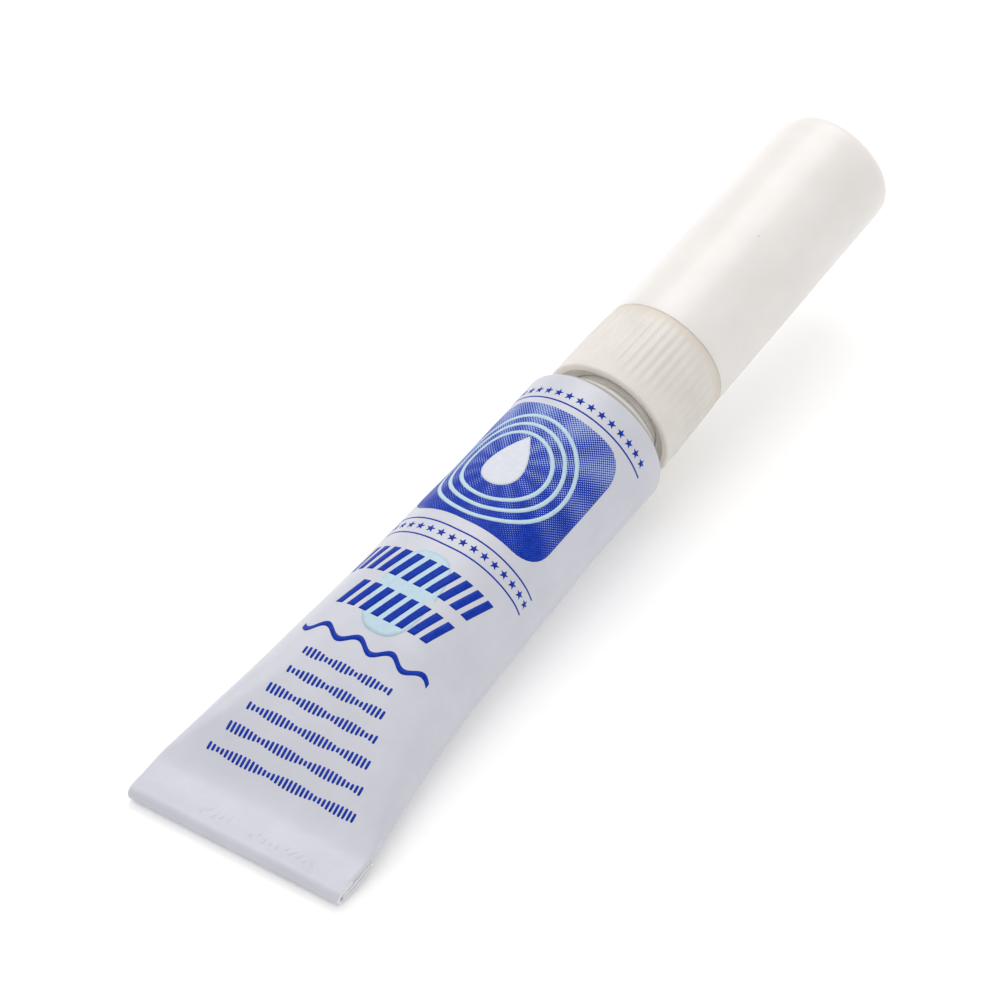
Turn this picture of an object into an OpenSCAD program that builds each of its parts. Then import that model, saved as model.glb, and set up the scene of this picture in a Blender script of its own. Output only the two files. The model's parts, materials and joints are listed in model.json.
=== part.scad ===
// Squeeze tube of instant glue, lying on its rolled tail and its belly.
// A foil tube, round at the shoulder and flat at the tail, carries a screw-on nozzle with a
// ribbed grip collar, and a pull-off cap closes the nozzle's spout.
// Sizes are in mm. Each piece is drawn along the tube's own axis, with the tail's edge at x = 0,
// and then laid on the table: the origin is on the table, under the middle of the length.

/* [Foil tube] */
// Outside diameter of the round barrel
tube_d = 11; // [9:0.5:13]
// Length from the tail's edge to the shoulder
tube_len = 42; // [36:1:60]
// Thickness of the foil wall
foil_t = 0.13; // [0.1:0.01:0.18]
// Length of the truly round band behind the shoulder
band_len = 2.5; // [1.5:0.5:4]
// Radius of the rounded shoulder edge
shoulder_round = 0.7; // [0.4:0.1:0.9]
// Slope of the shoulder, in degrees
shoulder_slope = 14; // [6:1:20]
// Wall of the stiff shoulder
shoulder_t = 0.4; // [0.3:0.05:0.6]

/* [Neck] */
// Diameter over the crests of the neck's thread
neck_d = 7; // [6:0.25:7.5]
// Length of the neck in front of the shoulder
neck_len = 5.5; // [5:0.25:6]
// Wall of the neck
neck_t = 0.75; // [0.6:0.05:1]
// Thickness of the membrane that closes the neck
membrane_t = 0.12; // [0.08:0.02:0.2]

/* [Rolled tail] */
// Length of the rolled tail along the tube
fold_len = 4.1; // [3.2:0.1:6]
// Thickness of the sealing band between the two plies
seal_t = 0.1; // [0.06:0.01:0.16]
// Gap between the layers of the roll
fold_gap = 0.06; // [0.04:0.01:0.1]

/* [Glue] */
// Depth of the glue above the table, as the tube lies
glue_level = 6; // [5:0.1:9.6]

/* [Nozzle] */
// Gap between the shoulder and the collar, before the nozzle is screwed home
collar_gap = 1.6; // [1.2:0.1:2]
// Diameter of the collar's plain foot
foot_d = 10.1; // [10.1:0.1:10.8]
// Diameter over the grip ribs
rib_d = 9.7; // [9.4:0.1:9.8]
// Height of the collar's plain rim over the crests of the ribs
rim_step = 0.05; // [0.03:0.01:0.1]
// Height of the collar
collar_h = 6.4; // [6:0.1:8]
// Height of the plain foot
foot_h = 0.6; // [0.5:0.1:1.2]
// Radius of the foot's rounded edge
foot_round = 0.4; // [0.2:0.1:0.5]
// Radial room round the root of the neck, in the collar's mouth
mouth_gap = 0.65; // [0.4:0.05:0.8]
// Depth of the collar's mouth
mouth_depth = 0.8; // [0.5:0.1:1.2]
// Height of the plain rim
rim_h = 0.4; // [0.2:0.1:0.8]
// Number of grip ribs
rib_count = 48; // [24:2:60]
// Height of a grip rib
rib_h = 0.08; // [0.06:0.01:0.15]
// Thickness of the collar's closed top
collar_top_t = 0.9; // [0.7:0.05:1.1]
// Diameter of the spigot that the cap is pushed on
spigot_d = 7.6; // [7.2:0.1:7.8]
// Height of the spigot
spigot_h = 4; // [2.5:0.5:5]
// Diameter at the foot of the spout
spout_d = 5.4; // [4:0.2:6.4]
// Length of the spout in front of the collar
spout_len = 17; // [14:0.5:17.5]
// Diameter of the spout's straight tip
tip_d = 2.4; // [2:0.1:3]
// Length of the spout's straight tip
tip_len = 2.4; // [1.5:0.1:3]
// Diameter of the glue channel
channel_d = 1; // [0.8:0.1:1.2]
// Gap between the piercing spike and the membrane
spike_gap = 0.25; // [0.15:0.05:0.4]

/* [Cap] */
// Diameter of the cap at its mouth
cap_d = 9.4; // [9.2:0.1:9.6]
// Diameter of the cap at its closed end
cap_end_d = 8.9; // [8.4:0.1:9.2]
// Length of the cap
cap_len = 21.2; // [20.8:0.2:26]
// Radius of the rounded end edge
cap_round = 0.8; // [0.4:0.1:1.2]
// Thickness of the closed end
cap_end_t = 1; // [0.8:0.1:1.6]
// Wall of the cap beyond the spigot
cap_t = 0.95; // [0.8:0.05:1.2]
// Depth to which the cap's plug enters the glue channel
plug_in = 0.9; // [0.5:0.1:1.5]

/* [Fits] */
// Radial clearance of the turning and sliding fits
fit_gap = 0.05; // [0.02:0.01:0.1]
// Gap between the cap's mouth and the collar
seat_gap = 0.05; // [0.02:0.01:0.1]

/* [Hidden] */
$fn = 96;

// Overrun of every cut, and the depth by which two forms of one piece run into each other
overrun = 0.5;
weld = 0.02;
// Film of air between the glue and the foil
film = 0.05;
// Chamfer on the moulded edges
edge = 0.15;

// Foil sections: points on half a girth, sections along the loft
half_count = 24;
sections = 18;
// How much closer the sections lie at the two ends of the loft
end_share = 0.8;
// How late the belly turns from its straight run into the round band
belly_power = 14;
// How fast the upper side swells from the tail
swell_power = 4.5;
// Share of the loft over which the upper side leaves the flat tail
soft_share = 0.03;

// The rolled tail: a sheet is two plies and the seal, and three sheets make the roll
sheet_t = 2 * foil_t + seal_t;
sheet_pitch = sheet_t + fold_gap;
roll_t = 3 * sheet_t + 2 * fold_gap;
outer_bend_r = roll_t / 2;
inner_bend_r = (2 * sheet_t + fold_gap) / 2;

// The loft of the barrel, from the flat tail to the round band
tube_r = tube_d / 2;
barrel_r = tube_r - weld;
flat_h = sheet_t / 2 + weld;
loft_x0 = fold_len + fold_gap;
band_x0 = tube_len - shoulder_round - band_len;
straight_x = band_x0 + band_len / 2;
tail_half_w = half_width(flat_h, flat_h) - flat_h * 2 / 3;
lead_x = loft_x0 + flat_h / 2;

// The neck and the places along the axis
neck_r = neck_d / 2;
neck_x1 = tube_len + neck_len;
cone_x1 = tube_len + (tube_r - shoulder_round - neck_r) * tan(shoulder_slope);
collar_x0 = tube_len + collar_gap;
collar_x1 = collar_x0 + collar_h;
ceiling_x = collar_x1 - collar_top_t;
spike_x0 = neck_x1 + spike_gap;
spigot_x1 = collar_x1 + spigot_h;
spout_x1 = collar_x1 + spout_len;
cap_x0 = collar_x1 + seat_gap;
cap_x1 = cap_x0 + cap_len;

// The nozzle's radii
socket_r = neck_r + fit_gap;
mouth_r = neck_r + mouth_gap;
channel_r = channel_d / 2;
spike_r = 2 * channel_r;
spike_tip_r = channel_r + edge / 2;
rib_root_r = rib_d / 2 - rib_h;
rim_r = rib_d / 2 + rim_step;
rib_x0 = collar_x0 + foot_h;
rib_x1 = collar_x1 - rim_h;

// Share of the loft at the section j, and its place along the axis
function loft_v(j) = j / sections - end_share * sin(360 * j / sections) / (2 * PI);
function loft_x(v) = loft_x0 + v * (band_x0 - loft_x0);

// Heights of a foil section above and below the axis, at the share v of the loft
function soft_v(v) = (1 + soft_share) * v * v / (v + soft_share);
function top_h(v) = flat_h + (barrel_r - flat_h) * (1 - pow(1 - soft_v(v), swell_power));
function belly_h(v) =
    flat_h + (barrel_r - flat_h) * (belly_power * v - pow(v, belly_power)) / (belly_power - 1);

// Half the width of a section: the foil can't stretch, so its girth stays that of the barrel
function half_width(up, down) = (2 * PI * barrel_r - (PI - 2) * (up + down)) / 4;

// Point at the share k of half a girth: a flat top, two round corners and a flat belly
function foil_point(k, wide, up, down) =
    let (flat_up = wide - up, flat_down = wide - down)
    let (arc_up = PI / 2 * up, arc_down = PI / 2 * down)
    let (run = k * (flat_up + arc_up + arc_down + flat_down))
    run < flat_up ? [run, up] :
    run < flat_up + arc_up ?
        let (a = (run - flat_up) / up * 180 / PI)
        [flat_up + up * sin(a), up * cos(a)] :
    run < flat_up + arc_up + arc_down ?
        let (a = (run - flat_up - arc_up) / down * 180 / PI)
        [flat_down + down * cos(a), -down * sin(a)] :
        [flat_up + arc_up + arc_down + flat_down - run, -down];

// Ring of foil points at the share v of the loft, drawn in by a depth and set at a place
function foil_ring(v, inset, x) =
    let (up = top_h(v), down = belly_h(v), wide = half_width(up, down))
    [for (i = [0 : 2 * half_count - 1])
        let (side = i <= half_count ? 1 : -1)
        let (k = side > 0 ? i / half_count : 2 - i / half_count)
        let (p = foil_point(k, wide - inset, up - inset, down - inset))
        [x, side * p[0], p[1]]];
function loft_ring(j, inset) = foil_ring(loft_v(j), inset, loft_x(loft_v(j)));

// Faces that join each ring to the next, clockwise from outside, and the strips that close a ring
ring_n = 2 * half_count;
function skin_faces(first, last) =
    [for (j = [first : last - 1], i = [0 : ring_n - 1])
        let (a = j * ring_n + i, b = j * ring_n + (i + 1) % ring_n)
        each [[a, b, a + ring_n], [b, b + ring_n, a + ring_n]]];
function ring_face(j) =
    let (h = half_count, m = half_count / 2, n = ring_n)
    let (strips = [for (i = [0 : m - 2]) each [
        [i, i + 1, h - i - 1],
        [i, h - i - 1, h - i],
        [n - i - 1, (n - i) % n, h + i],
        [n - i - 1, h + i, h + i + 1]
    ]])
    [for (f = concat(strips, [[m - 1, m, m + 1], [n - m, n - m + 1, h + m - 1]]))
        [for (i = f) j * ring_n + i]];
function turned_over(faces) = [for (f = faces) [for (i = [len(f) - 1 : -1 : 0]) f[i]]];

// Foil of the barrel: outer rings up to the band, then inner rings that start one section in
module barrel_foil() {
    outer_last = sections + 1;
    inner_first = outer_last + 1;
    inner_last = inner_first + sections;
    outer = [for (j = [0 : sections]) each loft_ring(j, 0)];
    inner = [for (j = [1 : sections]) each loft_ring(j, foil_t)];
    rim = [for (i = [0 : ring_n - 1])
        let (a = outer_last * ring_n + i, b = outer_last * ring_n + (i + 1) % ring_n)
        let (c = inner_last * ring_n + i, d = inner_last * ring_n + (i + 1) % ring_n)
        each [[a, b, c], [b, d, c]]];
    polyhedron(
        points = concat(outer, foil_ring(1, 0, straight_x), inner, foil_ring(1, foil_t, straight_x)),
        faces = concat(
            skin_faces(0, outer_last),
            turned_over(skin_faces(inner_first, inner_last)),
            turned_over(ring_face(0)),
            ring_face(inner_first),
            rim
        )
    );
}

// Angle of the line from under the rolled edge to a point of the belly at x, a height below the axis
function rest_angle(x, down) =
    let (dx = x - outer_bend_r, dz = down - sheet_pitch)
    atan2(dz, dx) - asin(outer_bend_r / norm([dx, dz]));

// The tube rests on its rolled edge and on the belly point that gives the greatest angle
tilt = max(concat(
    [for (j = [1 : sections]) rest_angle(loft_x(loft_v(j)), belly_h(loft_v(j)))],
    [rest_angle(band_x0, tube_r)]
));
rest_z = outer_bend_r + sheet_pitch * cos(tilt) - outer_bend_r * sin(tilt);

// Ends of the laid tube along the table: the rolled edge and the lower side of the cap's round edge
tail_end_x = outer_bend_r * cos(tilt) + sheet_pitch * sin(tilt) - outer_bend_r;
cap_end_x = (cap_x1 - cap_round) * cos(tilt) + (cap_end_d / 2 - cap_round) * sin(tilt) + cap_round;

// Lays what is drawn along the axis on the table
module laid() {
    translate([-(tail_end_x + cap_end_x) / 2, 0, rest_z])
        rotate([0, -tilt, 0])
            children();
}

// Turns an outline of [radius, place] about the tube's axis
module turned() {
    rotate([0, 90, 0])
        rotate_extrude()
            children();
}

// Spreads an outline of [place, height] across the tube
module across(w) {
    rotate([90, 0, 0])
        linear_extrude(height = w, center = true)
            children();
}

// Flat layer of the roll, between two places along the axis
module layer(x0, x1, z, t) {
    translate([x0, z - t / 2])
        square([x1 - x0, t]);
}

// Half ring that joins two layers of the roll, open towards +x or -x
module bend(x, z, r, t, side) {
    translate([x, z])
        intersection() {
            difference() {
                circle(r + t / 2);
                circle(r - t / 2);
            }
            translate([side > 0 ? 0 : -(r + t), -(r + t)])
                square([r + t, 2 * (r + t)]);
        }
}

// Section of the roll: the upper sheet turns under at the tail's edge, then in at the far end
module roll_outline(t, lead, start) {
    in_x = fold_len - inner_bend_r;
    layer(outer_bend_r, lead, 0, t);
    bend(outer_bend_r, -sheet_pitch, sheet_pitch, t, -1);
    layer(outer_bend_r, in_x, -2 * sheet_pitch, t);
    bend(in_x, -1.5 * sheet_pitch, sheet_pitch / 2, t, 1);
    layer(start, in_x, -sheet_pitch, t);
}

// Sealing band between the plies, short of the side folds and seen at the cut end
module seal_form(start) {
    across(2 * (tail_half_w - foil_t))
        roll_outline(seal_t, loft_x0, start);
}

// Shoulder and neck, outside
module shoulder_outline() {
    lip = neck_t / 3;
    polygon([
        [0, band_x0],
        [tube_r, band_x0],
        [tube_r, tube_len - shoulder_round],
        [tube_r - shoulder_round + shoulder_round * sin(shoulder_slope),
            tube_len - shoulder_round + shoulder_round * cos(shoulder_slope)],
        [neck_r, cone_x1],
        [neck_r, neck_x1 - lip],
        [neck_r - lip, neck_x1],
        [0, neck_x1]
    ]);
    translate([tube_r - shoulder_round, tube_len - shoulder_round])
        circle(shoulder_round);
}

// Shoulder and neck, inside, up to the membrane
module shoulder_hollow() {
    band_in_r = barrel_r - foil_t - weld;
    neck_in_r = neck_r - neck_t;
    polygon([
        [0, band_x0 - overrun],
        [band_in_r, band_x0 - overrun],
        [band_in_r, tube_len - shoulder_round - shoulder_t],
        [tube_r - shoulder_round, tube_len - shoulder_t],
        [neck_in_r, cone_x1 - shoulder_t],
        [neck_in_r, neck_x1 - membrane_t],
        [0, neck_x1 - membrane_t]
    ]);
}

module tube_shell() {
    color("whitesmoke")
        laid() {
            difference() {
                across(2 * tail_half_w)
                    roll_outline(sheet_t, lead_x, outer_bend_r);
                seal_form(outer_bend_r - fold_gap);
            }
            barrel_foil();
            difference() {
                turned()
                    shoulder_outline();
                turned()
                    shoulder_hollow();
            }
        }
}

module tail_seal() {
    color("burlywood")
        laid()
            seal_form(outer_bend_r);
}

// Height of the glue's level over the axis at a place, as the tube lies
function level_z(x) = (glue_level - rest_z - x * sin(tilt)) / cos(tilt);

// Glue: fills the foil from the tail to the shoulder, and its level cuts the sections short
module glue() {
    depth = foil_t + film;
    front_x = tube_len - shoulder_round - shoulder_t - film;
    full = concat([for (j = [1 : sections]) each loft_ring(j, depth)], foil_ring(1, depth, front_x));
    color("lightcyan")
        laid()
            polyhedron(
                points = [for (p = full) [p[0], p[1], min(p[2], level_z(p[0]))]],
                faces = concat(
                    skin_faces(0, sections),
                    turned_over(ring_face(0)),
                    ring_face(sections)
                )
            );
}

// Collar, spigot and spout, outside
module nozzle_outline() {
    core_r = rib_root_r - weld;
    polygon([
        [0, collar_x0],
        [foot_d / 2 - foot_round, collar_x0],
        [foot_d / 2, collar_x0 + foot_round],
        [rim_r, rib_x0],
        [core_r, rib_x0],
        [core_r, rib_x1],
        [rim_r, rib_x1],
        [rim_r, collar_x1 - edge],
        [rim_r - edge, collar_x1],
        [spigot_d / 2, collar_x1],
        [spigot_d / 2, spigot_x1 - 2 * edge],
        [spigot_d / 2 - 2 * edge, spigot_x1],
        [spout_d / 2, spigot_x1],
        [tip_d / 2, spout_x1 - tip_len],
        [tip_d / 2, spout_x1 - edge],
        [tip_d / 2 - edge, spout_x1],
        [0, spout_x1]
    ]);
    translate([foot_d / 2 - foot_round, collar_x0 + foot_round])
        circle(foot_round);
}

// Wide mouth and socket for the neck, the space round the piercing spike, and the glue channel
module nozzle_hollow() {
    polygon([
        [0, collar_x0 - overrun],
        [mouth_r, collar_x0 - overrun],
        [mouth_r, collar_x0 + mouth_depth],
        [socket_r, collar_x0 + mouth_depth],
        [socket_r, ceiling_x],
        [spike_r, ceiling_x],
        [spike_tip_r, spike_x0],
        [channel_r, spike_x0],
        [channel_r, spout_x1 + overrun],
        [0, spout_x1 + overrun]
    ]);
}

// Outline of the grip ribs, each a trapezium half a pitch wide
module rib_outline() {
    pitch = 360 / rib_count;
    foot_share = 0.3;
    crest_share = 0.16;
    polygon([for (i = [0 : rib_count - 1], s = [
            [-foot_share, rib_root_r],
            [-crest_share, rib_d / 2],
            [crest_share, rib_d / 2],
            [foot_share, rib_root_r]
        ])
        let (a = (i + s[0]) * pitch)
        [s[1] * cos(a), s[1] * sin(a)]
    ]);
}

module nozzle() {
    color("antiquewhite")
        laid()
            difference() {
                union() {
                    turned()
                        nozzle_outline();
                    translate([rib_x0 - weld, 0, 0])
                        rotate([0, 90, 0])
                            linear_extrude(height = rib_x1 - rib_x0 + 2 * weld)
                                rib_outline();
                }
                turned()
                    nozzle_hollow();
            }
}

// Cap, outside
module cap_outline() {
    mouth = cap_d / 2;
    end = cap_end_d / 2;
    polygon([
        [0, cap_x0],
        [mouth - edge, cap_x0],
        [mouth, cap_x0 + edge],
        [end, cap_x1 - cap_round],
        [end - cap_round, cap_x1],
        [0, cap_x1]
    ]);
    translate([end - cap_round, cap_x1 - cap_round])
        circle(cap_round);
}

// Bore over the spigot, the hollow round the spout, and the plug left standing in it
module cap_hollow() {
    bore_r = spigot_d / 2 + fit_gap;
    bore_x1 = spigot_x1 + seat_gap + edge;
    hollow_end_r = cap_end_d / 2 - cap_t;
    hollow_x1 = cap_x1 - cap_end_t;
    plug_r = channel_r - fit_gap;
    plug_x0 = spout_x1 - plug_in;
    plug_root_x = spout_x1 + seat_gap + edge;
    polygon([
        [0, cap_x0 - overrun],
        [bore_r, cap_x0 - overrun],
        [bore_r, bore_x1],
        [hollow_end_r, bore_x1 + bore_r - hollow_end_r],
        [hollow_end_r, hollow_x1],
        [tip_d / 2, hollow_x1],
        [plug_r, plug_root_x],
        [plug_r, plug_x0],
        [0, plug_x0]
    ]);
}

module cap() {
    color("white")
        laid()
            difference() {
                turned()
                    cap_outline();
                turned()
                    cap_hollow();
            }
}

tube_shell();
tail_seal();
glue();
nozzle();
cap();
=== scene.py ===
import json
import math

import bpy
import numpy as np
from mathutils import Matrix


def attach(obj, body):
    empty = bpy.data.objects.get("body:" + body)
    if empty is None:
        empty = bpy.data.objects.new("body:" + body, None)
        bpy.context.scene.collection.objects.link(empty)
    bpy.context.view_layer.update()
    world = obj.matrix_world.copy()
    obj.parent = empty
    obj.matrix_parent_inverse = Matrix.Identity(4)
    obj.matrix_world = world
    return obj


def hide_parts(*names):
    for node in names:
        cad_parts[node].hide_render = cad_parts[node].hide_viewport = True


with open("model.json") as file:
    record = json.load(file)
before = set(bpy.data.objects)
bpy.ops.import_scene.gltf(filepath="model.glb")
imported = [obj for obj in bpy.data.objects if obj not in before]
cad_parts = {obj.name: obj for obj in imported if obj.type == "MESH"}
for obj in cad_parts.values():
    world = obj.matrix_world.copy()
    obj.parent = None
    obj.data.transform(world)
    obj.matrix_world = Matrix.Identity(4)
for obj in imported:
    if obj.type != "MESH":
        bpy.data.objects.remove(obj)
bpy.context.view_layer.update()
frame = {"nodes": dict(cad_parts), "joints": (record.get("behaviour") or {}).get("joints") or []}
rng = np.random.default_rng(7)

# Lengths are in mm along the tube's own axis: x from the tail's edge, y to the side, z up from the axis.
# The screw joint carries that axis, and its point is 46.8 mm from the tail.
screw = frame["joints"][0]
axisDir = np.array(screw["axis"], float)
sideDir = np.array([0.0, 1.0, 0.0])
upDir = np.cross(axisDir, sideDir)
axisStart = np.array(screw["pos_m"], float) - 0.0468 * axisDir


def toFrame(p):  # axis place in mm to the frame in metres: x, y, z along the three directions
    p = np.asarray(p, float) / 1000
    return axisStart + p[..., :1] * axisDir + p[..., 1:2] * sideDir + p[..., 2:] * upDir


def addPiece(name, points, faces, uv=None, values=None):  # smooth mesh, sharp over 40 degrees
    mesh = bpy.data.meshes.new(name)
    mesh.from_pydata(toFrame(points).tolist(), [], faces)
    mesh.polygons.foreach_set("use_smooth", np.ones(len(mesh.polygons), bool))
    mesh.set_sharp_from_angle(angle=math.radians(40))
    if uv is not None:
        corners = np.zeros(len(mesh.loops), np.int32)
        mesh.loops.foreach_get("vertex_index", corners)
        unrolled = np.asarray(uv, np.float32)[corners]
        mesh.uv_layers.new(name="unrolled").data.foreach_set("uv", unrolled.ravel())
    for key, data in (values or {}).items():
        held = mesh.attributes.new(key, "FLOAT", "POINT")
        held.data.foreach_set("value", np.asarray(data, np.float32))
    piece = bpy.data.objects.new(name, mesh)
    bpy.context.scene.collection.objects.link(piece)
    print(name, len(mesh.polygons), "faces")
    return piece


def gridFaces(rows, cols, wrap=False, first=0):  # quads between rows and columns, wrapped if asked
    i, j = np.meshgrid(np.arange(rows - 1), np.arange(cols if wrap else cols - 1), indexing="ij")
    k = (j + 1) % cols
    quads = np.stack([i * cols + j, (i + 1) * cols + j, (i + 1) * cols + k, i * cols + k], -1)
    return (first + quads).reshape(-1, 4).tolist()


def endFaces(rows, cols):  # one face that closes the first row of a wrapped grid, and one for its last row
    return [list(range(cols))[::-1], list(range(cols * (rows - 1), cols * rows))]


def outward(points, faces):  # the faces, all turned over if the volume that they enclose comes out negative
    fans = np.array([[f[0], f[k], f[k + 1]] for f in faces for k in range(1, len(f) - 1)])
    a, b, c = points[fans[:, 0]], points[fans[:, 1]], points[fans[:, 2]]
    return faces if np.sum(a * np.cross(b, c)) > 0 else [f[::-1] for f in faces]


def smooth(t):  # 3t^2 - 2t^3 between 0 and 1
    t = np.clip(t, 0, 1)
    return t * t * (3 - 2 * t)


def softened(corners, steps=6, ring=False):  # corners [x, r, size] become parabolas of that size
    corners = np.array(corners, float)
    spot, size = corners[:, :2], corners[:, 2:]
    back = np.roll(spot, 1, 0) - spot
    ahead = np.roll(spot, -1, 0) - spot
    back *= np.minimum(size / np.linalg.norm(back, axis=1, keepdims=True), 0.45)
    ahead *= np.minimum(size / np.linalg.norm(ahead, axis=1, keepdims=True), 0.45)
    t = np.linspace(0, 1, steps)[None, :, None]
    bend = spot[:, None] + (1 - t) ** 2 * back[:, None] + t ** 2 * ahead[:, None]
    if not ring:  # the two ends stay
        bend[0] = spot[0]
        bend[-1] = spot[-1]
    bend = bend.reshape(-1, 2)
    apart = np.linalg.norm(bend - np.roll(bend, 1, 0), axis=1) > 1e-6
    return bend[apart]


def divided(path, longest):  # the path with points added so that no stretch is longer than given
    runs = np.linalg.norm(np.diff(path, axis=0), axis=1)
    count = np.maximum(1, np.ceil(runs / longest).astype(int))
    pieces = [a + (b - a) * np.arange(n)[:, None] / n for a, b, n in zip(path[:-1], path[1:], count)]
    return np.vstack(pieces + [path[-1:]])


def turned(path, around, ring=False, swell=None):  # r at angle a about the axis, swell(x, r, a) added
    a = np.arange(around)[None] * 2 * math.pi / around
    x = path[:, :1] + 0 * a
    r = path[:, 1:] + 0 * a
    if swell:
        r = r + swell(x, r, a)
    points = np.stack([x, r * np.sin(a), r * np.cos(a)], -1).reshape(-1, 3)
    rows = len(path)
    faces = gridFaces(rows, around, True)
    if ring:  # the outline is closed, so the last row joins the first
        last = (rows - 1) * around
        faces += [[last + j, j, (j + 1) % around, last + (j + 1) % around] for j in range(around)]
    else:  # the outline starts and ends at the axis, where a small disc closes it
        faces += endFaces(rows, around)
    return points, outward(points, faces)


# Foil barrel: the girth is the same at every place, so the flat tail is wide and the round end narrow
foil = {
    "radius": 5.48, "flat": 0.2, "around": 240, "step": 0.22,
    "topFrom": 3.2, "loftFrom": 4.16, "loftTo": 38.8, "swell": 4.5, "soft": 0.07, "belly": 14,
    "skinFrom": 0.62, "tuckTo": 1.6, "tuck": 0.046,
    "roundAt": 41.4, "round": 0.35, "lacquerTo": 28,  # the lacquer stops 28 degrees into the round edge
    "ripple": 0.022, "dentFrom": 5.5, "dentFull": 4.0, "dentTo": 38.4, "dentFall": 3.0,
    "dents": [  # along, across, reach along, reach across, depth
        (30.0, -6.9, 3.0, 0.9, 0.15), (34.6, -7.6, 1.6, 1.1, -0.06), (25.4, -7.6, 2.4, 0.8, 0.12),
        (28.0, -8.6, 2.2, 0.8, -0.07), (19.5, -5.9, 3.2, 0.9, 0.11), (13.0, -5.0, 3.4, 1.2, 0.09),
        (16.4, -7.4, 2.2, 0.9, -0.05), (14.0, 5.2, 3.0, 1.1, 0.11), (22.0, 5.8, 3.6, 1.0, 0.09),
        (31.0, 5.0, 2.6, 1.5, 0.07), (27.0, 12.5, 3.0, 2.0, 0.12), (17.0, -13.0, 2.6, 2.2, 0.1),
        (33.5, -12.0, 2.4, 1.8, 0.1), (22.5, 14.5, 2.0, 2.4, -0.06),
    ],
}


def loftShare(x, start):  # 0 at the start of the loft, 1 at its end
    return np.clip((x - start) / (foil["loftTo"] - start), 0, 1)


def foilForm(x, s):  # at run s from the top: flat top, upper corner, lower corner, flat belly
    tucked = 1 - smooth((x - foil["skinFrom"]) / (foil["tuckTo"] - foil["skinFrom"]))
    flat = foil["flat"] - foil["tuck"] * tucked
    full = foil["radius"] - flat
    top = loftShare(x, foil["topFrom"])
    soft = (1 + foil["soft"]) * top * top / (top + foil["soft"])
    up = flat + full * (1 - (1 - soft) ** foil["swell"])
    v, p = loftShare(x, foil["loftFrom"]), foil["belly"]
    down = flat + full * (p * v - v ** p) / (p - 1)
    wide = (2 * math.pi * foil["radius"] - (math.pi - 2) * (up + down)) / 4  # keeps the girth
    run = np.abs(s)
    sideAt = wide - up + math.pi / 2 * up  # run to the end of the upper corner
    a = np.clip((run - wide + up) / up, 0, math.pi / 2)
    b = np.clip((run - sideAt) / down, 0, math.pi / 2)
    under = np.clip(run - sideAt - math.pi / 2 * down, 0, None)
    upper = run < sideAt
    y = np.where(upper, np.minimum(run, wide - up) + up * np.sin(a), wide - down + down * np.cos(b) - under)
    z = np.where(upper, up * np.cos(a), -down * np.sin(b))
    return np.stack([x + 0 * s, np.sign(s) * y, z], -1)


def foilAt(x, s, lift=0.0):  # the form moved along its normal: out by the lift, in by dents and a ripple
    x, s = np.broadcast_arrays(np.asarray(x, float), np.asarray(s, float))
    e = 0.05
    alongX = foilForm(x + e, s) - foilForm(x - e, s)
    alongS = foilForm(x, s + e) - foilForm(x, s - e)
    normal = np.cross(alongX, alongS)
    normal /= np.linalg.norm(normal, axis=-1, keepdims=True) + 1e-12
    deep = foil["ripple"] * np.sin(0.55 * x + 0.4 * s) * np.sin(0.31 * x - 0.7 * s + 1)
    for along, across, reachX, reachS, depth in foil["dents"]:
        deep = deep + depth * np.exp(-((x - along) / reachX) ** 2 - ((s - across) / reachS) ** 2)
    deep = deep * smooth((x - foil["dentFrom"]) / foil["dentFull"])
    deep = deep * smooth((foil["dentTo"] - x) / foil["dentFall"])
    return foilForm(x, s) + normal * (lift - deep)[..., None]


def makeBarrel():  # rows of foil points up to the round band, then circles round the edge, ends closed
    half = math.pi * foil["radius"]
    across = (np.arange(foil["around"]) / foil["around"] * 2 - 1) * half + 1e-6
    tail = np.linspace(foil["skinFrom"], foil["loftFrom"], 12)
    wedge = np.arange(foil["loftFrom"] + 0.1, foil["loftTo"], foil["step"])
    along = np.concatenate([tail, wedge, [foil["loftTo"]]])
    barrel = foilAt(along[:, None], across[None])
    turn = np.radians(np.linspace(0, foil["lacquerTo"], 6))
    bendX = foil["roundAt"] + foil["round"] * np.sin(turn)
    bendR = foil["radius"] - foil["round"] * (1 - np.cos(turn))
    band = np.array([[foil["loftTo"] + 0.3, foil["radius"]]])
    bend = divided(np.vstack([band, np.stack([bendX, bendR], -1)]), 0.4)
    angle = across / half * math.pi
    edge = np.stack([bend[:, :1] + 0 * angle, bend[:, 1:] * np.sin(angle), bend[:, 1:] * np.cos(angle)], -1)
    points = np.concatenate([barrel, edge]).reshape(-1, 3)
    rows = len(barrel) + len(edge)
    faces = gridFaces(rows, len(across), True) + endFaces(rows, len(across))
    place = np.concatenate([along, bend[:, 0]])[:, None]
    uv = np.stack(np.broadcast_arrays(place, across[None]), -1).reshape(-1, 2) / 10
    return addPiece("foilBarrel", points, outward(points, faces), uv)


barrelPiece = makeBarrel()

# Neck: the bare edge of the shoulder, its cone, a plain root and a right-hand thread
neck = {
    "radius": 3.5, "rootR": 3.5, "end": 47.5, "slope": 43, "lip": 0.25, "around": 160,
    "tuck": 8, "below": 0.006,
    "threadFrom": 44.3, "pitch": 1.0, "depth": 0.24, "groove": 0.36, "fadeIn": 0.4, "fadeOut": 0.3,
}


def threadDip(x, r, a):  # the radius dips by the depth where the place, less the turn, is near half a pitch
    phase = ((x - neck["threadFrom"]) / neck["pitch"] - a / (2 * math.pi)) % 1
    groove = smooth(1 - np.abs(phase - 0.5) / neck["groove"])
    fadeIn = smooth((x - neck["threadFrom"]) / neck["fadeIn"])
    fadeOut = smooth((neck["end"] - neck["lip"] - x) / neck["fadeOut"])
    onWall = np.abs(r - neck["radius"]) < 0.01
    return -neck["depth"] * groove * fadeIn * fadeOut * onWall


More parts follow.
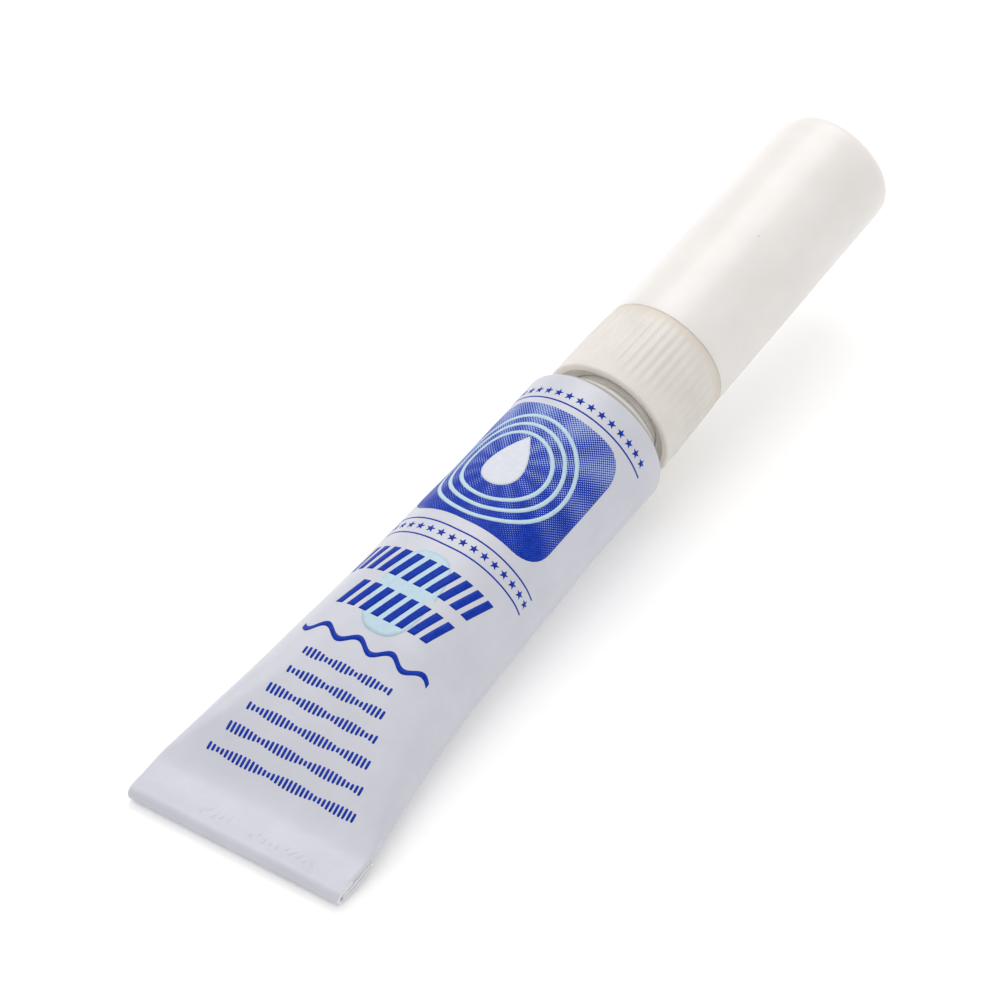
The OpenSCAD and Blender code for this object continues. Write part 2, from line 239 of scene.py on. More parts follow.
def makeNeck():  # the outline runs from inside the barrel round the edge, down the cone and along the neck
    slope = math.radians(neck["slope"])
    turn = np.linspace(math.radians(foil["lacquerTo"] - neck["tuck"]), math.pi / 2 - slope, 9)
    bendX = foil["roundAt"] + foil["round"] * np.sin(turn)
    bendR = foil["radius"] - neck["below"] - foil["round"] + foil["round"] * np.cos(turn)
    coneX = bendX[-1] + (bendR[-1] - neck["rootR"]) * math.tan(slope)
    crestTo = neck["end"] - neck["lip"]
    path = np.vstack([
        [[bendX[0], 0.02], [bendX[0], bendR[0] - 0.05]],
        np.stack([bendX, bendR], -1),
        divided(np.array([[coneX, neck["rootR"]], [neck["threadFrom"] - 0.2, neck["rootR"]]]), 0.3),
        divided(np.array([[neck["threadFrom"] + 0.04, neck["radius"]], [crestTo, neck["radius"]]]), 0.05),
        [[neck["end"], neck["radius"] - neck["lip"]], [neck["end"], 0.02]],
    ])
    points, faces = turned(path, neck["around"], swell=threadDip)
    edgeX = foil["roundAt"] + foil["round"] * math.sin(math.radians(foil["lacquerTo"]))
    return addPiece("threadedNeck", points, faces, None, {"fromLacquer": points[:, 0] - edgeX})


neckPiece = makeNeck()

# Rolled tail: a flattened sheet with round sides, carried along a line that folds under and then in
roll = {
    "reach": 4.1, "pitch": 0.38, "half": 8.51, "thick": 0.32, "outer": 0.56, "inner": 0.37, "lead": 1.7,
    "sway": 0.03,
}


def arc(x, z, r, a0, a1, n):  # n points of a circle about x, z from one angle to the other
    a = np.linspace(a0, a1, n)
    return np.stack([x + r * np.cos(a), z + r * np.sin(a)], -1)


def makeRoll():  # the sheet's loop is set across the line at each of its points
    pitch = roll["pitch"]
    line = divided(np.vstack([
        [[roll["lead"], 0.0]],
        arc(roll["outer"], -pitch, pitch, math.pi / 2, 3 * math.pi / 2, 25),
        arc(roll["reach"] - roll["inner"], -1.5 * pitch, pitch / 2, -math.pi / 2, math.pi / 2, 13),
        [[roll["outer"], -pitch]],
    ]), 0.3)
    ahead = np.gradient(line, axis=0)
    ahead /= np.linalg.norm(ahead, axis=1, keepdims=True)
    aside = np.stack([-ahead[:, 1], ahead[:, 0]], -1)
    turn = np.linspace(-math.pi / 2, math.pi / 2, 11)
    thick = roll["thick"] / 2
    flatEnd = roll["half"] - thick
    flatRun = np.linspace(-flatEnd, flatEnd, 41)[1:-1]
    loop = np.vstack([
        np.stack([flatEnd + thick * np.cos(turn), thick * np.sin(turn)], -1),
        np.stack([-flatRun, thick + 0 * flatRun], -1),
        np.stack([-flatEnd - thick * np.cos(turn), -thick * np.sin(turn)], -1),
        np.stack([flatRun, -thick + 0 * flatRun], -1),
    ])
    # the folded layers don't end in one plane
    sway = roll["sway"] * np.sin(1.7 * line[:, :1] + 2.3 * line[:, 1:])
    x = line[:, :1] + aside[:, :1] * loop[:, 1]
    y = loop[None, :, 0] * (1 + sway / roll["half"])
    z = line[:, 1:] + aside[:, 1:] * loop[:, 1]
    points = np.stack([x, y, z], -1).reshape(-1, 3)
    rows = len(line)
    faces = gridFaces(rows, len(loop), True) + endFaces(rows, len(loop))
    # 1 at the tips of the round sides, 0 on the flats
    tips = np.concatenate([np.cos(turn), 0 * flatRun, np.cos(turn), 0 * flatRun])
    return addPiece("rolledTail", points, outward(points, faces), None, {"side": np.tile(tips, rows)})


rollPiece = makeRoll()

# Press marks on the tail: low pillows, each height a product of two fourth-power falls
marks = {
    "at": 1.5, "pitch": 0.52, "groups": (3.4, -0.6, -3.3), "each": 5, "rise": 0.04, "sink": 0.006,
    "least": (0.3, 0.16, -0.6, -0.22), "most": (0.9, 0.34, 0.6, 0.22),  # tall, wide, lean, shift
}


def makeMarks():  # every mark is a small grid on the foil, its size drawn at random between least and most
    a, b = np.meshgrid(np.linspace(-1, 1, 9), np.linspace(-1, 1, 9), indexing="ij")
    lift = marks["rise"] * (1 - a ** 4) * (1 - b ** 4) - marks["sink"]
    points = []
    faces = []
    for first in marks["groups"]:
        for i in range(marks["each"]):
            tall, wide, lean, shift = rng.uniform(marks["least"], marks["most"])
            x = marks["at"] + shift + a * tall / 2
            s = first - marks["pitch"] * i + b * wide / 2 + lean * a * tall / 2
            faces += gridFaces(9, 9, first=81 * len(points))
            points.append(foilAt(x, s, lift).reshape(-1, 3))
    return addPiece("tailMarks", np.vstack(points), faces)


marksPiece = makeMarks()

# Nozzle: one closed outline [x, r, softness] turned about the axis, with grip ribs raised round the collar
collar = {
    "foot": 43.25, "top": 50.0, "footR": 4.9, "footRound": 0.16, "topR": 4.66, "around": 480,
    "ribs": 48, "ribDeep": 0.06, "ribWide": 0.55, "ribFrom": 44.0, "ribTo": 49.7,
    "fadeFoot": 1.1, "fadeTop": 0.8,
    "mouthR": 4.4, "mouthTo": 43.75, "socketR": 3.55, "ceiling": 49.1,
}
spout = {
    "spigotR": 3.8, "spigotTo": 54.0, "footR": 2.7, "tipR": 1.2, "tipFrom": 64.6, "end": 67.0,
    "channelR": 0.5, "spikeFrom": 47.75, "spikeR": 1.0, "spikeTipR": 0.58,
}


def wallRadius(x):  # the collar's wall between the ribs, a straight taper from the foot to the top
    share = (x - collar["foot"]) / (collar["top"] - collar["foot"])
    return collar["footR"] + share * (collar["topR"] - collar["footR"])


def ribRise(x, r, a):  # ribs rise where the cosine of the turned angle is high, and fade out at both ends
    crest = smooth(np.cos(a * collar["ribs"]) + collar["ribWide"])
    fadeFoot = smooth((x - collar["ribFrom"]) / collar["fadeFoot"])
    fadeTop = smooth((collar["ribTo"] - x) / collar["fadeTop"])
    onWall = np.abs(r - wallRadius(x)) < 0.03
    return collar["ribDeep"] * crest * fadeFoot * fadeTop * onWall


def makeNozzle():  # up the channel, down the spout and the collar, and back through the socket
    c, p = collar, spout
    bend = np.linspace(0, math.pi / 2, 6)
    footX = c["foot"] + c["footRound"] * (1 - np.sin(bend))
    footR = c["footR"] - c["footRound"] * (1 - np.cos(bend))
    outline = [
        [p["spikeFrom"], p["channelR"], 0.02], [p["end"], p["channelR"], 0.1], [p["end"], p["tipR"], 0.2],
        [p["tipFrom"], p["tipR"], 0.5], [p["spigotTo"], p["footR"], 0.3], [p["spigotTo"], p["spigotR"], 0.35],
        [c["top"], p["spigotR"], 0.12], [c["top"], c["topR"], 0.03],
        *np.stack([footX, footR, 0.01 + 0 * bend], -1).tolist(),
        [c["foot"], c["mouthR"], 0.1], [c["mouthTo"], c["mouthR"], 0.2], [c["mouthTo"], c["socketR"], 0.1],
        [c["ceiling"], c["socketR"], 0.2], [c["ceiling"], p["spikeR"], 0.2],
        [p["spikeFrom"], p["spikeTipR"], 0.05],
    ]
    path = softened(outline, ring=True)
    path = divided(np.vstack([path, path[:1]]), 0.5)[:-1]
    points, faces = turned(path, c["around"], ring=True, swell=ribRise)
    onCollar = np.hypot(points[:, 1], points[:, 2]) > p["spigotR"] + 0.02
    return addPiece("nozzleBody", points, faces, None, {"along": points[:, 0] * onCollar})


nozzlePiece = makeNozzle()

# Cap: outline [x, r, softness] from the plug's end, round the hollow and the mouth, to the closed end
cap = {
    "mouth": 50.02, "end": 71.25, "mouthR": 4.67, "endR": 4.45, "round": 1.0, "around": 160,
    "boreR": 3.85, "boreTo": 54.2, "hollowFrom": 54.55, "hollowR": 3.5, "hollowTo": 70.25,
    "plugR": 0.45, "plugTo": 66.1, "plugRoot": 67.2, "plugRootR": 1.2,
}


def makeCap():  # the outline turned about the axis
    k = cap
    outline = [
        [k["plugTo"], 0.02, 0.01], [k["plugTo"], k["plugR"], 0.08], [k["plugRoot"], k["plugR"], 0.2],
        [k["hollowTo"], k["plugRootR"], 0.4], [k["hollowTo"], k["hollowR"], 0.5],
        [k["hollowFrom"], k["hollowR"], 0.15], [k["boreTo"], k["boreR"], 0.15],
        [k["mouth"], k["boreR"], 0.12], [k["mouth"], k["mouthR"], 0.03],
        [k["end"], k["endR"], k["round"]], [k["end"], 0.02, 0.01],
    ]
    points, faces = turned(divided(softened(outline, 9), 0.5), k["around"])
    return addPiece("capBody", points, faces)


capPiece = makeCap()

# Printed label: each mark is a patch of the foil's own surface, given as places on the unrolled foil
label = {
    "film": 0.014, "lift": {"pale": 0.004, "panel": 0.006, "ink": 0.008, "white": 0.011},
    "stars": [(39.9, 6.6, 16), (25.6, 7.0, 17)], "starSize": 0.36, "starDip": 0.42,  # along, reach, count
    "rules": [39.2, 26.35, 24.85], "ruleReach": 7.3, "ruleWide": 0.12,
    "panel": (27.3, 38.6, 5.9, 2.2),  # from, to, reach, corner
    "drop": (32.7, 0.6), "dropSize": 1.9, "ripples": [3.1, 3.95, 4.8], "rippleWide": 0.3,
    "patch": (20.3, 0.0), "patchSize": (3.7, 2.1), "patchPower": 2.6,
    "ribbons": [(22.2, 4.9), (18.9, 3.8)], "ribbonTall": 2.3,  # along, reach
    "stripeWide": 0.6, "stripePitch": 0.98, "stripeLean": -0.35,
    "wave": (15.5, 5.2, 0.42, 0.34, 2.6),  # along, reach, thickness, rise, length
    "ticks": [(13.5, 3.4), (11.9, 3.9), (10.3, 4.4), (8.7, 4.9), (7.1, 5.4), (5.5, 5.9)],  # along, reach
    "tickTall": 0.72, "tickWide": 0.2, "tickPitch": 0.34,
}


def gridPatch(along, across, wrap=False):  # a patch from two arrays of places, joined round if asked
    along, across = np.broadcast_arrays(along, across)
    return np.stack([along.ravel(), across.ravel()], -1), gridFaces(*along.shape, wrap)


def fanPatch(centre, outline, rings=1):  # rings that shrink to the centre, a fan in the middle
    n = len(outline)
    share = np.arange(1, rings + 1)[:, None, None] / rings
    points = np.vstack([[[0.0, 0.0]], (share * outline[None]).reshape(-1, 2)]) + centre
    faces = [[0, 1 + j, 1 + (j + 1) % n] for j in range(n)]
    return points, faces + gridFaces(rings, n, True, 1)


def star():  # outer and inner points in turn, the first one towards the shoulder
    a = np.arange(10) * math.pi / 5
    r = label["starSize"] * np.where(np.arange(10) % 2 == 0, 1, label["starDip"])
    return np.stack([r * np.cos(a), r * np.sin(a)], -1)


def drop(steps=40):  # drawn to a point: the width is the sine times a power of half the angle's sine
    t = np.arange(steps) * 2 * math.pi / steps
    size = label["dropSize"]
    wide = np.sin(t) * np.abs(np.sin(t / 2)) ** 1.1
    return np.stack([size * (1.25 * np.cos(t) + 0.25), size * wide], -1)


def pill(long, wide, power=4, steps=32):  # superellipse: both shares to the given power add up to one
    t = (np.arange(steps) + 0.5) * 2 * math.pi / steps
    circle = np.stack([np.cos(t), np.sin(t)], -1)
    return np.array([long, wide]) * np.sign(circle) * np.abs(circle) ** (2 / power)


def plate(low, high, reach, corner):  # rows of a rectangle that narrow along a quarter circle at both ends
    turn = corner * (1 - np.cos(np.linspace(0, math.pi / 2, 9)))
    middle = np.linspace(low + corner, high - corner, 24)[1:-1]
    along = np.concatenate([low + turn, middle, high - turn[::-1]])[:, None]
    gap = np.minimum(corner, np.minimum(along - low, high - along))
    half = reach - corner + np.sqrt(np.maximum(corner ** 2 - (corner - gap) ** 2, 0))
    return gridPatch(along, half * np.linspace(-1, 1, 48)[None])


def bar(along, tall, low, high, lean=0.0, step=0.25):  # a strip across the foil, leaned along it
    rows = np.linspace(-tall / 2, tall / 2, max(2, int(tall / step) + 2))[:, None]
    cols = np.linspace(low, high, max(2, int((high - low) / step) + 2))[None]
    return gridPatch(along + rows + 0 * cols, cols + lean * rows)


def ripple(radius):  # a closed ring round the drop
    turn = np.arange(96)[None] * 2 * math.pi / 96
    ring = radius + label["rippleWide"] * np.linspace(-0.5, 0.5, 3)[:, None]
    return gridPatch(label["drop"][0] + ring * np.cos(turn), label["drop"][1] + ring * np.sin(turn), True)


def waveRule():  # a strip whose middle line is a sine of the place across
    along, reach, thick, rise, length = label["wave"]
    cols = np.linspace(-reach, reach, 90)[None]
    rows = thick * np.linspace(-0.5, 0.5, 3)[:, None]
    return gridPatch(along + rows + rise * np.sin(cols * 2 * math.pi / length), cols)


def tickRow(along, reach):  # upright ticks whose height swells and falls three times across the row
    place = np.arange(-reach, reach + 0.01, label["tickPitch"])
    tall = label["tickTall"] * (0.45 + 0.55 * np.abs(np.sin(place / reach * 1.5 * math.pi + along)))
    return [fanPatch((along, s), pill(h / 2, label["tickWide"] / 2)) for s, h in zip(place, tall)]


def ribbon(along, reach):  # slanted stripes side by side
    left = np.arange(-reach, reach, label["stripePitch"])
    return [bar(along, label["ribbonTall"], s, s + label["stripeWide"], label["stripeLean"]) for s in left]


def printed(name, patches, lift):  # all patches of one ink as a thin film that dips into the lacquer
    count = np.cumsum([0] + [len(points) for points, _ in patches])
    places = np.vstack([points for points, _ in patches])
    faces = [[first + i for i in face] for (_, some), first in zip(patches, count) for face in some]
    piece = addPiece(name, foilAt(places[:, 0], places[:, 1], label["lift"][lift]), faces, places / 10)
    film = piece.modifiers.new("film", "SOLIDIFY")
    film.thickness = label["film"] / 1000
    film.offset = -1
    return piece


inkPatches = []
for x, reach, n in label["stars"]:
    inkPatches += [fanPatch((x, s), star()) for s in np.linspace(-reach, reach, n)]
inkPatches += [bar(x, label["ruleWide"], -label["ruleReach"], label["ruleReach"]) for x in label["rules"]]
inkPatches += [patch for row in label["ribbons"] for patch in ribbon(*row)]
inkPatches += [waveRule()]
inkPatches += [patch for row in label["ticks"] for patch in tickRow(*row)]
palePatch = fanPatch(label["patch"], pill(*label["patchSize"], label["patchPower"]), 10)
inkPiece = printed("printInk", inkPatches, "ink")
panelPiece = printed("printPanel", [plate(*label["panel"])], "panel")
palePiece = printed("printPale", [palePatch], "pale")
ripplePiece = printed("printRipples", [ripple(r) for r in label["ripples"]], "white")
dropPiece = printed("printDrop", [fanPatch(label["drop"], drop(), 8)], "white")


def put(tree, kind, inputs, **settings):  # a node, each input set to a value or linked to a socket
    node = tree.nodes.new(kind)
    for key, value in settings.items():
        setattr(node, key, value)
    for key, value in inputs.items():
        if isinstance(value, bpy.types.NodeSocket):
            tree.links.new(value, node.inputs[key])
        else:
            node.inputs[key].default_value = value
    return node


def sums(tree, operation, *inputs):  # one step of arithmetic
    return put(tree, "ShaderNodeMath", dict(enumerate(inputs)), operation=operation).outputs["Value"]


def ranged(tree, value, low, high, least=0.0, most=1.0):  # low to high brought to least to most
    sockets = {"Value": value, "From Min": low, "From Max": high, "To Min": least, "To Max": most}
    return put(tree, "ShaderNodeMapRange", sockets).outputs["Result"]


def clouds(tree, place, scale, detail, rough=0.5):  # soft noise about a half
    sockets = {"Vector": place, "Scale": scale, "Detail": detail, "Roughness": rough}
    return put(tree, "ShaderNodeTexNoise", sockets).outputs["Fac"]


def mixed(tree, share, first, second):  # the first tone, turning to the second by the share
    sockets = {"Factor": share, "A": first, "B": second}
    return put(tree, "ShaderNodeMix", sockets, data_type="RGBA").outputs["Result"]


def newGroup(name, inputs, result, kind):  # a node group with named sockets
    tree = bpy.data.node_groups.new(name, "ShaderNodeTree")
    for key, sort in inputs.items():
        tree.interface.new_socket(key, in_out="INPUT", socket_type="NodeSocket" + sort)
    tree.interface.new_socket(result, in_out="OUTPUT", socket_type="NodeSocket" + kind)
    given = tree.nodes.new("NodeGroupInput").outputs
    return tree, given, tree.nodes.new("NodeGroupOutput").inputs[result]


def mottleGroup():  # a tone between dark and light by soft noise
    sockets = {"Place": "Vector", "Scale": "Float", "Dark": "Color", "Light": "Color"}
    tree, given, result = newGroup("mottle", sockets, "Color", "Color")
    share = ranged(tree, clouds(tree, given["Place"], given["Scale"], 4, 0.55), 0.32, 0.68)
    tree.links.new(mixed(tree, share, given["Dark"], given["Light"]), result)
    return tree


def grainGroup():  # height of a coarse noise plus a share of a fine one
    sockets = {"Place": "Vector", "Coarse": "Float", "Fine": "Float", "Share": "Float"}
    tree, given, result = newGroup("grain", sockets, "Height", "Float")
    coarse = clouds(tree, given["Place"], given["Coarse"], 3)
    fine = clouds(tree, given["Place"], given["Fine"], 2)
    tree.links.new(sums(tree, "MULTIPLY_ADD", fine, given["Share"], coarse), result)
    return tree


def scuffGroup():  # roughness between two values, higher in rubbed lines where stretched noise is high
    sockets = {"Place": "Vector", "Scale": "Float", "Least": "Float", "Most": "Float"}
    tree, given, result = newGroup("scuffs", sockets, "Roughness", "Float")
    stretch = {"Vector": given["Place"], "Rotation": (0.3, 0.2, 0.6), "Scale": (0.25, 1.6, 1.6)}
    lines = clouds(tree, put(tree, "ShaderNodeMapping", stretch).outputs["Vector"], given["Scale"], 5, 0.7)
    tree.links.new(ranged(tree, lines, 0.35, 0.75, given["Least"], given["Most"]), result)
    return tree


mottle = mottleGroup()
grain = grainGroup()
scuffs = scuffGroup()


def newFinish(name, look):  # mottled tone, scuffed roughness and a grain, all on object places
    mat = bpy.data.materials.new(name)
    mat.use_nodes = True
    tree = mat.node_tree
    shader = tree.nodes["Principled BSDF"]
    place = put(tree, "ShaderNodeTexCoord", {}).outputs["Object"]
    dark, light = (*look["dark"], 1), (*look["light"], 1)
    tones = {"Place": place, "Scale": look["toneScale"], "Dark": dark, "Light": light}
    rubs = {"Place": place, "Scale": look["rubScale"], "Least": look["rough"][0], "Most": look["rough"][1]}
    grains = {"Place": place, "Coarse": look["grain"][0], "Fine": look["grain"][1], "Share": 0.2}
    tone = put(tree, "ShaderNodeGroup", tones, node_tree=mottle).outputs["Color"]
    rub = put(tree, "ShaderNodeGroup", rubs, node_tree=scuffs).outputs["Roughness"]
    skin = put(tree, "ShaderNodeGroup", grains, node_tree=grain).outputs["Height"]
    bumps = {"Height": skin, "Strength": look["bump"][0], "Distance": look["bump"][1]}
    tree.links.new(tone, shader.inputs["Base Color"])
    tree.links.new(rub, shader.inputs["Roughness"])
    tree.links.new(put(tree, "ShaderNodeBump", bumps).outputs["Normal"], shader.inputs["Normal"])
    for key, value in look.get("shader", {}).items():
        shader.inputs[key].default_value = value
    return mat, tree, place


def overTone(tree, mask, colour):  # another tone laid over the present base colour where the mask says
    base = tree.nodes["Principled BSDF"].inputs["Base Color"]
    tree.links.new(mixed(tree, mask, base.links[0].from_socket, (*colour, 1)), base)


def held(tree, name):  # a value that the mesh holds at its points
    return put(tree, "ShaderNodeAttribute", {}, attribute_name=name).outputs["Fac"]


lacquerLook = {
    "dark": (0.60, 0.61, 0.68), "light": (0.64, 0.65, 0.72), "toneScale": 320, "rubScale": 300,
    # the last tone is for the folded layers' round sides: worn metal, painted lighter as a glint
    "rough": (0.34, 0.48), "grain": (260, 1500), "bump": (0.35, 0.0002), "wornGlint": (0.77, 0.78, 0.79),
    "shader": {"Coat Weight": 0.06, "Coat Roughness": 0.2},
}


def rollFinish():  # the lacquer, rubbed to a light grey at the round sides of the folded layers: worn bare metal, with a painted glint on those edges
    mat, tree, place = newFinish("foldedLacquer", lacquerLook)
    # wear and a painted glint: light grey where the side value and a fine noise are both high
    wornGlint = sums(tree, "MULTIPLY", held(tree, "side"), clouds(tree, place, 3200, 3))
    overTone(tree, ranged(tree, wornGlint, 0.1, 0.45), lacquerLook["wornGlint"])
    return mat


metalLook = {
    "dark": (0.88, 0.865, 0.85), "light": (0.96, 0.945, 0.93), "toneScale": 900, "rubScale": 1500,
    "rough": (0.45, 0.65), "grain": (1400, 4000), "bump": (0.25, 0.00003),
    # the line tone is painted shade: a dark brown band where the metal meets the lacquer's edge
    "line": (0.46, 0.42, 0.39), "shadeLineFull": 0.36, "shadeLineWide": 0.9, "shader": {"Metallic": 0.3},
}


def neckFinish():  # bare metal with a brown line of painted shade along the lacquer's edge
    look = metalLook
    mat, tree, place = newFinish("bareAluminium", look)
    # painted shade: full at the lacquer's edge and fading out along the metal
    mask = ranged(tree, held(tree, "fromLacquer"), look["shadeLineFull"], look["shadeLineWide"], 1, 0)
    overTone(tree, mask, look["line"])
    return mat


nozzleLook = {
    "dark": (0.735, 0.695, 0.65), "light": (0.79, 0.755, 0.71), "toneScale": 420, "rubScale": 500,
    "rough": (0.46, 0.6), "grain": (700, 2600), "bump": (0.2, 0.00005),
    # painted light and shade: a tan band at the collar's top edge, under the cap's rim
    "paintedTopTone": (0.66, 0.54, 0.40), "paintedTopFrom": 48.9, "paintedTopTo": 49.9, "paintedTopMost": 0.45,
    "shader": {"Subsurface Weight": 0.3, "Subsurface Radius": (1.0, 0.96, 0.92), "Subsurface Scale": 0.001},
}


def nozzleFinish():  # the tone turns tan where the place along the axis nears the collar's top: painted light and shade where the translucent collar meets the cap
    look = nozzleLook
    mat, tree, place = newFinish("naturalPlastic", look)
    mask = ranged(tree, held(tree, "along"), look["paintedTopFrom"], look["paintedTopTo"], 0, look["paintedTopMost"])
    overTone(tree, mask, look["paintedTopTone"])
    return mat


capLook = {
    "dark": (0.825, 0.79, 0.765), "light": (0.865, 0.83, 0.805), "toneScale": 240, "rubScale": 260,
    "rough": (0.29, 0.32), "grain": (180, 1800), "bump": (0.08, 0.0001),
    "speck": (0.73, 0.70, 0.67), "speckScale": 420, "speckSize": 0.045, "speckShare": 0.6,
    "shader": {"Subsurface Weight": 0.25, "Subsurface Radius": (1.0, 0.92, 0.8), "Subsurface Scale": 0.001},
}


def capFinish():  # small specks: near the middle of some cells of a random pattern
    look = capLook
    mat, tree, place = newFinish("glossyWhite", look)
    cells = put(tree, "ShaderNodeTexVoronoi", {"Vector": place, "Scale": look["speckScale"]}).outputs
    near = sums(tree, "LESS_THAN", cells["Distance"], look["speckSize"])
    chance = put(tree, "ShaderNodeSeparateColor", {"Color": cells["Color"]}).outputs["Red"]
    some = sums(tree, "GREATER_THAN", chance, look["speckShare"])
    overTone(tree, sums(tree, "MULTIPLY", near, some), look["speck"])
    return mat


inkLook = {
    "toneScale": 2600, "rubScale": 300, "rough": (0.36, 0.5), "grain": (260, 1500), "bump": (0.35, 0.0002),
    "shader": {"Specular IOR Level": 0.12},
}
inkTones = {
    "blueInk": {"dark": (0.0012, 0.026, 0.35), "light": (0.006, 0.042, 0.42)},
    "paleInk": {"dark": (0.50, 0.66, 0.76), "light": (0.56, 0.72, 0.82)},
    "whiteInk": {"dark": (0.68, 0.70, 0.78), "light": (0.74, 0.76, 0.83)},
}
halftone = {
    "perTen": 62, "turn": 45, "rays": 12, "rayShare": 0.22, "from": -0.55, "to": 0.75,
    "least": 0.05, "most": 0.42, "pale": (0.42, 0.52, 0.80),
}


def halftoneFinish():  # pale dots on blue, sized by rays round the drop and the place along the panel
    mat, tree, place = newFinish("halftoneInk", {**inkLook, **inkTones["blueInk"]})
    flat = put(tree, "ShaderNodeUVMap", {}, uv_map="unrolled").outputs["UV"]
    count = halftone["perTen"]
    turn = (0, 0, math.radians(halftone["turn"]))
    screen = {"Vector": flat, "Rotation": turn, "Scale": (count, count, 1)}
    spread = put(tree, "ShaderNodeMapping", screen).outputs["Vector"]
    cell = put(tree, "ShaderNodeVectorMath", {0: spread}, operation="FRACTION").outputs["Vector"]
    centre = (0.5, 0.5, 0)
    off = put(tree, "ShaderNodeVectorMath", {0: cell, 1: centre}, operation="DISTANCE").outputs["Value"]
    middle = (label["drop"][0] / 10, label["drop"][1] / 10, 0)
    away = put(tree, "ShaderNodeVectorMath", {0: flat, 1: middle}, operation="SUBTRACT").outputs["Vector"]
    split = put(tree, "ShaderNodeSeparateXYZ", {"Vector": away}).outputs
    angle = sums(tree, "ARCTAN2", split["Y"], split["X"])
    ray = sums(tree, "SINE", sums(tree, "MULTIPLY", angle, halftone["rays"]))
    rise = sums(tree, "MULTIPLY_ADD", ray, halftone["rayShare"], split["X"])
    size = ranged(tree, rise, halftone["from"], halftone["to"], halftone["least"], halftone["most"])
    overTone(tree, sums(tree, "LESS_THAN", off, size), halftone["pale"])
    return mat


lacquer = newFinish("whiteLacquer", lacquerLook)[0]
inks = {name: newFinish(name, {**inkLook, **tones})[0] for name, tones in inkTones.items()}
looks = [  # piece, finish, body, slot
    (barrelPiece, lacquer, "tube", "foil"),
    (rollPiece, rollFinish(), "tube", "foil"),
    (marksPiece, lacquer, "tube", "foil"),
    (neckPiece, neckFinish(), "tube", "foil"),
    (inkPiece, inks["blueInk"], "tube", "foil"),
    (panelPiece, halftoneFinish(), "tube", "foil"),
    (palePiece, inks["paleInk"], "tube", "foil"),
    (ripplePiece, inks["paleInk"], "tube", "foil"),
    (dropPiece, inks["whiteInk"], "tube", "foil"),
    (nozzlePiece, nozzleFinish(), "nozzle", "nozzle_plastic"),
    (capPiece, capFinish(), "cap", "cap_plastic"),
]
for piece, mat, body, slot in looks:
    piece.data.materials.append(mat)
    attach(piece, body)
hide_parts("tube_shell")
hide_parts("nozzle")
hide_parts("cap")

# The two hidden pieces keep their solids and get a finish
glueLook = {
    "dark": (0.88, 0.92, 0.94), "light": (0.93, 0.96, 0.97), "toneScale": 300, "rubScale": 300,
    "rough": (0.04, 0.08), "grain": (200, 900), "bump": (0.05, 0.00005),
    "shader": {"Transmission Weight": 0.9, "IOR": 1.44},
}
sealLook = {
    "dark": (0.48, 0.43, 0.36), "light": (0.58, 0.53, 0.45), "toneScale": 700, "rubScale": 600,
    "rough": (0.5, 0.7), "grain": (800, 2400), "bump": (0.2, 0.00004),
}
for name, finish, look in (("glue", "clearGlue", glueLook), ("tail_seal", "sealBand", sealLook)):
    solid = frame["nodes"][name]
    solid.data.materials.clear()
    solid.data.materials.append(newFinish(finish, look)[0])
print("finishes")

# Floor, light and camera
studio = {"floor": 0.93, "reach": 3.0, "world": (1.0, 0.995, 0.985), "worldPower": 0.68, "glow": 0.2}
lamps = [  # name, place, size, power
    ("keyLamp", (0.30, 0.13, 0.42), 0.36, 0.95),
    ("sideLamp", (-0.05, 0.42, 0.30), 0.30, 0.42),
    ("fillLamp", (-0.20, -0.38, 0.35), 0.40, 0.32),
]
view = {
    "azimuth": 34.32, "elevation": 43.43, "roll": 0.83, "target": (-0.00267, 0.0, 0.00455), "far": 0.6,
    "lens": 323.5, "shift": (-0.0224, 0.0211),
}


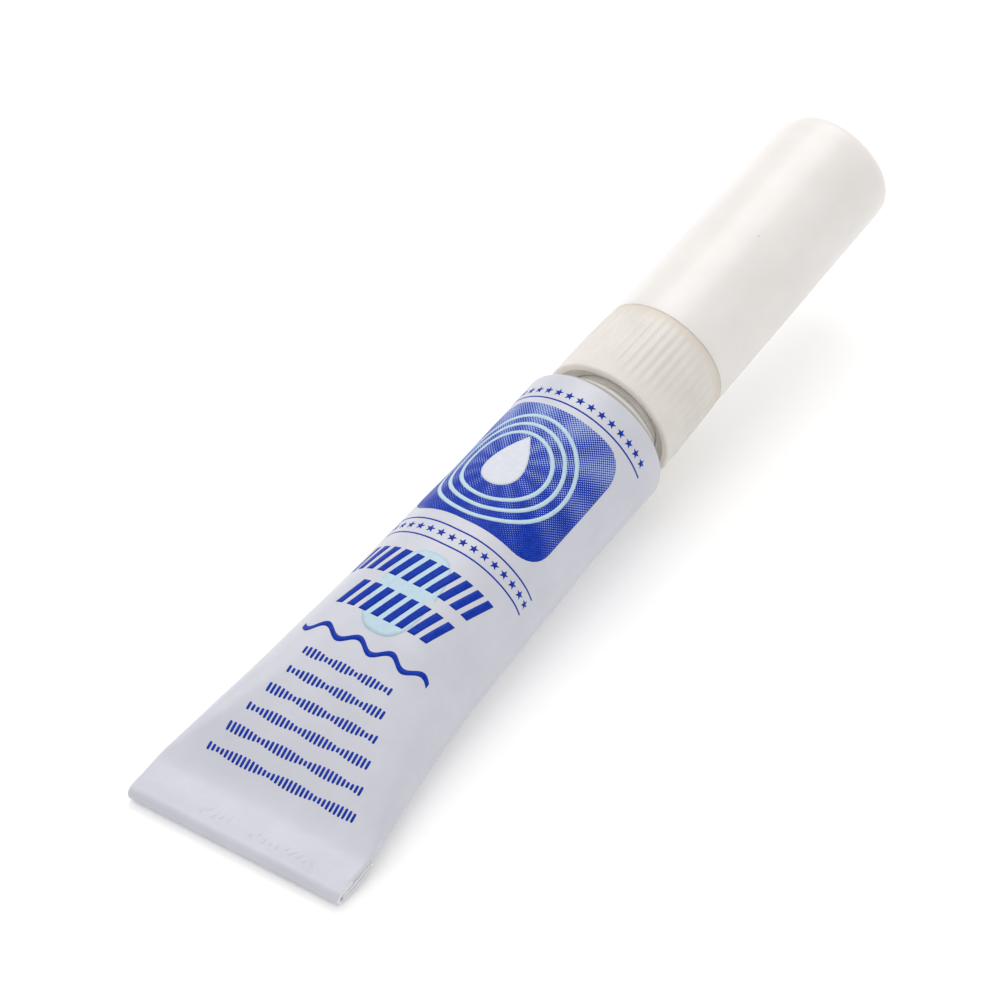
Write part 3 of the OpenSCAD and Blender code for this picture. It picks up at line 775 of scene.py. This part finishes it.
def makeStage():  # one square, a little lighter to the camera, a mirror or glass, so that it stays white
    reach = studio["reach"]
    mesh = bpy.data.meshes.new("floor")
    square = [(-reach, -reach, 0), (reach, -reach, 0), (reach, reach, 0), (-reach, reach, 0)]
    mesh.from_pydata(square, [], [(0, 1, 2, 3)])
    floor = bpy.data.objects.new("floor", mesh)
    bpy.context.scene.collection.objects.link(floor)
    mat = bpy.data.materials.new("paleFloor")
    mat.use_nodes = True
    tree = mat.node_tree
    shader = tree.nodes["Principled BSDF"]
    shader.inputs["Base Color"].default_value = (studio["floor"],) * 3 + (1,)
    shader.inputs["Roughness"].default_value = 0.9
    shader.inputs["Specular IOR Level"].default_value = 0.1
    shader.inputs["Emission Color"].default_value = (1, 1, 1, 1)
    rays = put(tree, "ShaderNodeLightPath", {}).outputs
    seen = sums(tree, "MAXIMUM", rays["Is Camera Ray"], rays["Is Glossy Ray"])
    seen = sums(tree, "MAXIMUM", seen, rays["Is Transmission Ray"])
    tree.links.new(sums(tree, "MULTIPLY", seen, studio["glow"]), shader.inputs["Emission Strength"])
    mesh.materials.append(mat)


def makeLight():  # an even sky and three square lamps that face the origin
    world = bpy.data.worlds.new("studio")
    bpy.context.scene.world = world
    world.use_nodes = True
    sky = world.node_tree.nodes["Background"]
    sky.inputs["Color"].default_value = (*studio["world"], 1)
    sky.inputs["Strength"].default_value = studio["worldPower"]
    for name, at, size, power in lamps:
        data = bpy.data.lights.new(name, "AREA")
        data.size = size
        data.energy = power
        lamp = bpy.data.objects.new(name, data)
        bpy.context.scene.collection.objects.link(lamp)
        lamp.location = at
        lamp.rotation_euler = (-lamp.location).to_track_quat("-Z", "Y").to_euler()


def makeCamera():  # looks along the azimuth, down by the elevation, turned about its sight by the roll
    az, el, lean = (math.radians(view[key]) for key in ("azimuth", "elevation", "roll"))
    ahead = np.array([math.cos(el) * math.cos(az), math.cos(el) * math.sin(az), -math.sin(el)])
    level = np.array([math.sin(az), -math.cos(az), 0])
    right = math.cos(lean) * level + math.sin(lean) * np.cross(level, ahead)
    above = np.cross(right, ahead)
    at = np.array(view["target"]) - view["far"] * ahead
    data = bpy.data.cameras.new("camera")
    data.sensor_width = 36
    data.lens = view["lens"]
    data.shift_x, data.shift_y = view["shift"]
    data.clip_start = 0.01
    data.clip_end = 20
    camera = bpy.data.objects.new("camera", data)
    bpy.context.scene.collection.objects.link(camera)
    turn = np.stack([right, above, -ahead, at], -1)
    camera.matrix_world = Matrix(np.vstack([turn, [0, 0, 0, 1]]).tolist())
    bpy.context.scene.camera = camera


makeStage()
makeLight()
makeCamera()
bpy.context.scene.view_settings.view_transform = "Standard"
print("stage, light and camera")
